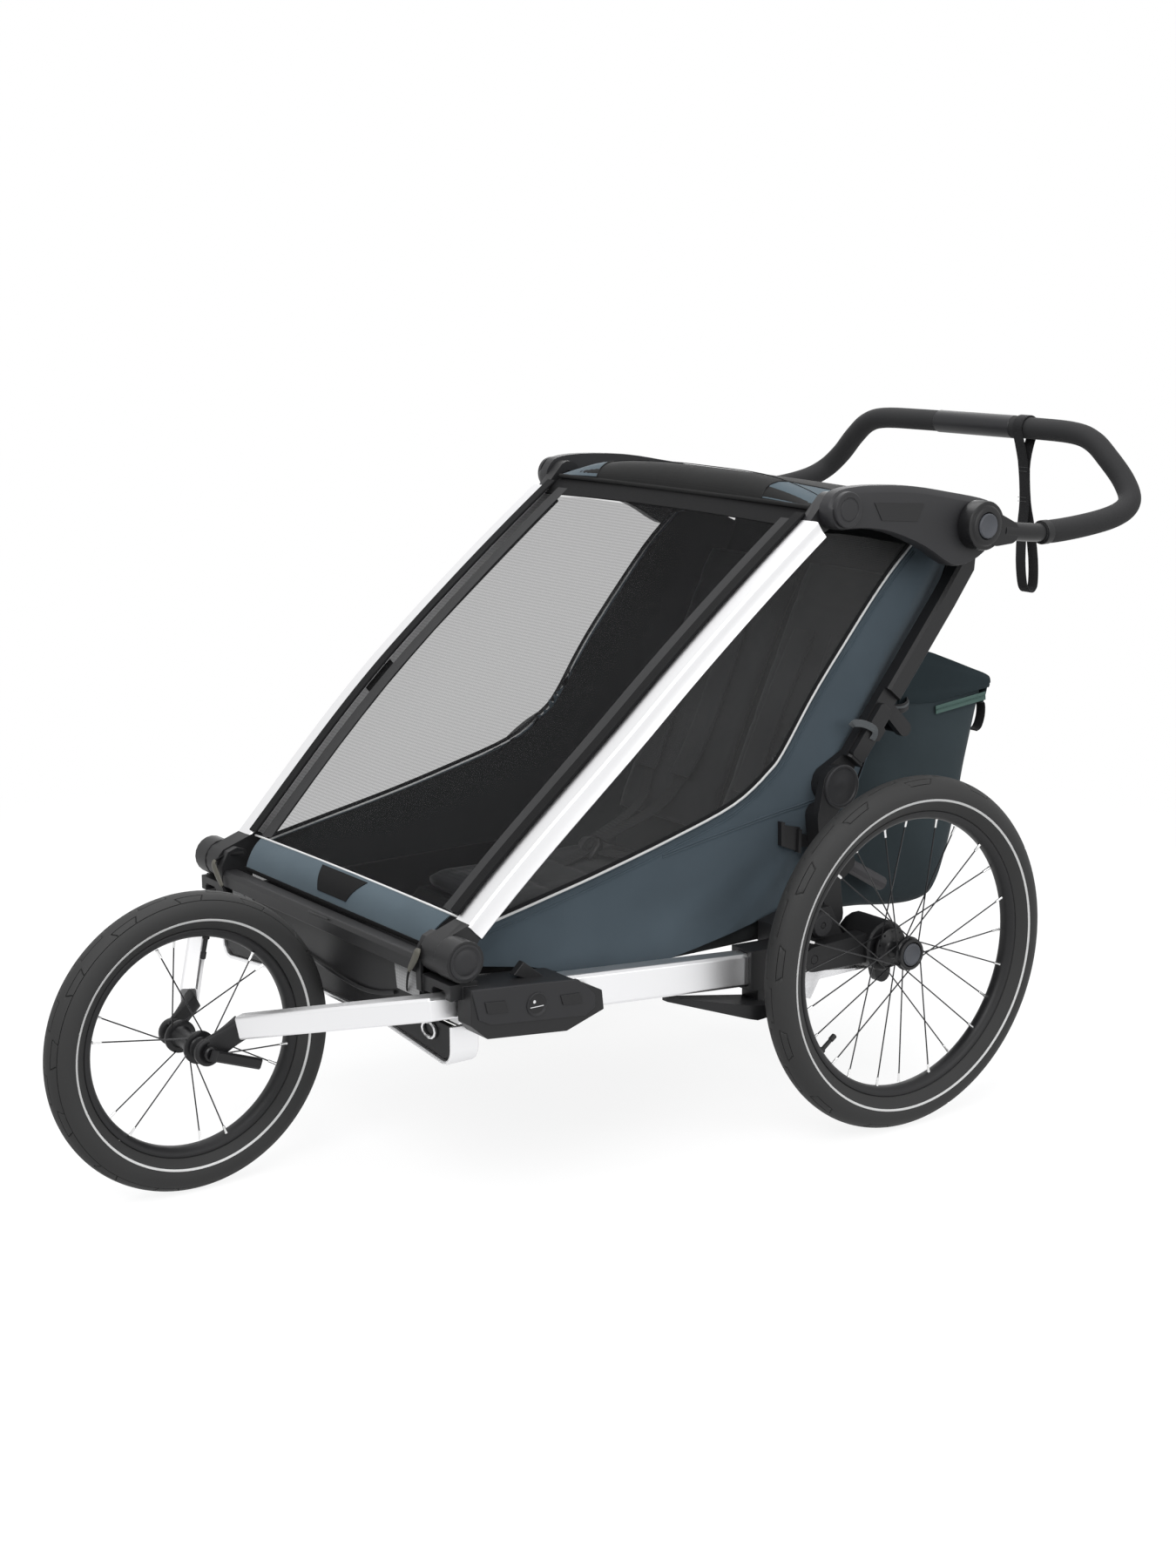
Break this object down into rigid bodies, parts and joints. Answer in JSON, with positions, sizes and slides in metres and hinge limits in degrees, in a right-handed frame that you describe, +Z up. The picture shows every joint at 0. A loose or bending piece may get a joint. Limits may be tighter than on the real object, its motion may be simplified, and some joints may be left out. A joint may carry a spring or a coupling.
{
  "type": "child trailer",
  "caption": "Folding child trailer with spoked rear wheels, a padded cabin behind a mesh cover, a bent push handle, a rear bag and a plug-in jogging wheel.",
  "frame": {"origin": "on the ground, in the middle of the overall length and width", "axes": "+Z up; the trailer faces -Y; +X is its left side"},
  "size_m": [0.7998, 1.608, 0.9558],
  "materials": {
    "satin_aluminium": "satin anodised",
    "steel": "bright wire",
    "tyre": "matt black with a white stripe",
    "grip_foam": "matt foam",
    "black_mesh": "fine black mesh and webbing",
    "window_film": "tinted film",
    "slate_fabric": "coated woven polyester",
    "roof_fabric": "coated woven polyester",
    "seat_fabric": "padded, sewn in channels",
    "grey_plastic": "matt",
    "brown_plastic": "matt",
    "black_plastic": "satin moulded"
  },
  "bodies": {
    "chassis": {"side_rail_left": "satin_aluminium", "side_rail_right": "satin_aluminium", "arm_socket_left": "black_plastic", "arm_socket_right": "black_plastic", "front_beam": "black_plastic", "front_crossbar": "satin_aluminium", "skid_plate": "black_plastic", "tether_ring": "steel", "cabin_tub": "black_plastic", "rear_frame": "black_plastic", "leaf_spring_left": "satin_aluminium", "leaf_spring_right": "satin_aluminium", "seat_cushion_left": "seat_fabric", "seat_cushion_right": "seat_fabric", "seat_back_left": "seat_fabric", "seat_back_right": "seat_fabric", "side_panel_left": "slate_fabric", "side_panel_right": "slate_fabric", "side_window_left": "window_film", "side_window_right": "window_film", "rear_panel": "slate_fabric", "cargo_bag": "slate_fabric"},
    "pillars": {"pillar_left": "satin_aluminium", "pillar_right": "satin_aluminium", "front_cover": "black_mesh"},
    "top_link": {"roof_frame": "black_plastic", "roof_panel": "roof_fabric"},
    "uprights": {"upright_frame": "black_plastic"},
    "handle": {"handlebar": "black_plastic", "handle_grip": "grip_foam", "wrist_strap": "black_mesh"},
    "jog_kit": {"jog_arm_left": "satin_aluminium", "jog_arm_right": "satin_aluminium", "fork_tip_left": "black_plastic", "fork_tip_right": "black_plastic", "front_skewer": "black_plastic"},
    "jog_lever": {"skewer_lever": "black_plastic"},
    "front_wheel": {"front_tyre": "tyre", "front_rim": "black_plastic", "front_hub": "black_plastic"},
    "brake": {"brake_lever": "brown_plastic"},
    "latch_left": {"fold_latch_left": "black_plastic"},
    "handle_button_left": {"handle_button_left": "grey_plastic"},
    "lock_left": {"arm_lock_left": "grey_plastic"},
    "swing_left": {"swing_arm_left": "black_plastic"},
    "rear_wheel_left": {"rear_tyre_left": "tyre", "rear_rim_left": "black_plastic", "rear_hub_left": "black_plastic"},
    "wheel_button_left": {"wheel_button_left": "grey_plastic"},
    "dial_left": {"suspension_dial_left": "grey_plastic"},
    "latch_right": {"fold_latch_right": "black_plastic"},
    "handle_button_right": {"handle_button_right": "grey_plastic"},
    "lock_right": {"arm_lock_right": "grey_plastic"},
    "swing_right": {"swing_arm_right": "black_plastic"},
    "rear_wheel_right": {"rear_tyre_right": "tyre", "rear_rim_right": "black_plastic", "rear_hub_right": "black_plastic"},
    "wheel_button_right": {"wheel_button_right": "grey_plastic"},
    "dial_right": {"suspension_dial_right": "grey_plastic"}
  },
  "joints": [
    {"name": "fold", "type": "hinge", "parent": "chassis", "child": "pillars", "pos_m": [0, -0.39365, 0.351], "axis": [-1, 0, 0], "range_deg": [0, 35], "deforming": ["seat_back_left", "seat_back_right", "side_panel_left", "side_panel_right", "side_window_left", "side_window_right", "rear_panel", "cargo_bag", "front_cover", "roof_panel"]},
    {"name": "upright_fold", "type": "hinge", "parent": "chassis", "child": "uprights", "pos_m": [0, 0.25135, 0.48], "axis": [-1, 0, 0], "range_deg": [0, 54.4]},
    {"name": "link_fold", "type": "hinge", "parent": "pillars", "child": "top_link", "pos_m": [0, 0.21235, 0.866], "axis": [-1, 0, 0], "range_deg": [-61, 0]},
    {"name": "handle_tilt", "type": "hinge", "parent": "top_link", "child": "handle", "pos_m": [0, 0.45035, 0.831], "axis": [-1, 0, 0], "range_deg": [-150, 60], "deforming": ["wrist_strap"]},
    {"name": "jog_slide", "type": "slide", "parent": "chassis", "child": "jog_kit", "axis": [0, -0.9968, 0.0793], "range_m": [0, 0.12]},
    {"name": "front_wheel_spin", "type": "hinge", "parent": "jog_kit", "child": "front_wheel", "pos_m": [0, -0.60395, 0.2], "axis": [1, 0, 0], "continuous": true},
    {"name": "jog_lever_flip", "type": "hinge", "parent": "jog_kit", "child": "jog_lever", "pos_m": [0.0689, -0.60395, 0.2], "axis": [0, -0.342, -0.9397], "range_deg": [0, 175]},
    {"name": "brake_press", "type": "hinge", "parent": "chassis", "child": "brake", "pos_m": [0.235, 0.30735, 0.353], "axis": [-1, 0, 0], "range_deg": [0, 40]},
    {"name": "latch_slide_left", "type": "slide", "parent": "uprights", "child": "latch_left", "axis": [0, 0.6306, 0.7761], "range_m": [0, 0.02], "stiffness_N_per_m": 600, "springref_m": -0.002},
    {"name": "handle_button_push_left", "type": "slide", "parent": "handle", "child": "handle_button_left", "axis": [-1, 0, 0], "range_m": [0, 0.004], "stiffness_N_per_m": 1000, "springref_m": -0.001},
    {"name": "lock_pull_left", "type": "slide", "parent": "chassis", "child": "lock_left", "axis": [1, 0, 0], "range_m": [0, 0.004], "stiffness_N_per_m": 1500, "springref_m": -0.001},
    {"name": "suspension_left", "type": "hinge", "parent": "chassis", "child": "swing_left", "pos_m": [0.303, 0.18135, 0.25], "axis": [1, 0, 0], "range_deg": [0, 6], "stiffness_Nm_per_rad": 200, "springref_deg": -3.44, "deforming": ["leaf_spring_left"]},
    {"name": "rear_wheel_spin_left", "type": "hinge", "parent": "swing_left", "child": "rear_wheel_left", "pos_m": [0.3765, 0.30635, 0.25], "axis": [1, 0, 0], "continuous": true},
    {"name": "wheel_button_push_left", "type": "slide", "parent": "rear_wheel_left", "child": "wheel_button_left", "axis": [-1, 0, 0], "range_m": [0, 0.0025], "stiffness_N_per_m": 1500, "springref_m": -0.001},
    {"name": "dial_turn_left", "type": "hinge", "parent": "chassis", "child": "dial_left", "pos_m": [0.303, 0.20835, 0.291], "axis": [1, 0, 0], "range_deg": [0, 180]},
    {"name": "latch_slide_right", "type": "slide", "parent": "uprights", "child": "latch_right", "axis": [0, 0.6306, 0.7761], "range_m": [0, 0.02], "stiffness_N_per_m": 600, "springref_m": -0.002},
    {"name": "handle_button_push_right", "type": "slide", "parent": "handle", "child": "handle_button_right", "axis": [1, 0, 0], "range_m": [0, 0.004], "stiffness_N_per_m": 1000, "springref_m": -0.001},
    {"name": "lock_pull_right", "type": "slide", "parent": "chassis", "child": "lock_right", "axis": [-1, 0, 0], "range_m": [0, 0.004], "stiffness_N_per_m": 1500, "springref_m": -0.001},
    {"name": "suspension_right", "type": "hinge", "parent": "chassis", "child": "swing_right", "pos_m": [-0.303, 0.18135, 0.25], "axis": [1, 0, 0], "range_deg": [0, 6], "stiffness_Nm_per_rad": 200, "springref_deg": -3.44, "deforming": ["leaf_spring_right"]},
    {"name": "rear_wheel_spin_right", "type": "hinge", "parent": "swing_right", "child": "rear_wheel_right", "pos_m": [-0.3765, 0.30635, 0.25], "axis": [1, 0, 0], "continuous": true},
    {"name": "wheel_button_push_right", "type": "slide", "parent": "rear_wheel_right", "child": "wheel_button_right", "axis": [1, 0, 0], "range_m": [0, 0.0025], "stiffness_N_per_m": 1500, "springref_m": -0.001},
    {"name": "dial_turn_right", "type": "hinge", "parent": "chassis", "child": "dial_right", "pos_m": [-0.303, 0.20835, 0.291], "axis": [-1, 0, 0], "range_deg": [0, 180]}
  ],
  "couplings": [
    {"joint": "upright_fold", "follows": "fold", "ratio": 1.5382},
    {"joint": "link_fold", "follows": "fold", "ratio": -1.7254}
  ]
}
